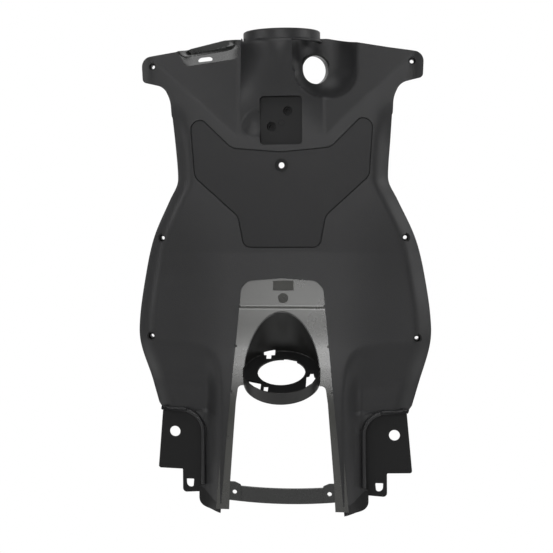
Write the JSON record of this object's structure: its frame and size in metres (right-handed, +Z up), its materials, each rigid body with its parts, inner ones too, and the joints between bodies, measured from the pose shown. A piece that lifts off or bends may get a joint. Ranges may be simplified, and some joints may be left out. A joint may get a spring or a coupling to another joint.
{
  "type": "scooter leg shield",
  "caption": "Moulded inner leg shield for a scooter, with steering collar, lock bowl, hook recess, tilted filler cup and a removable service cover.",
  "frame": {"origin": "centre of the boss for the centre screw, on the face that the service cover seats on", "axes": "+Z up along the panel, +X to the rider's right, -Y towards the rider"},
  "size_m": [0.3836, 0.1194, 0.6224],
  "materials": {
    "shield": "fine grained moulded black plastic, smooth where another part covers it",
    "cover": "fine grained moulded black plastic"
  },
  "bodies": {
    "root": {"leg_shield": "shield", "service_cover": "cover"}
  },
  "joints": []
}
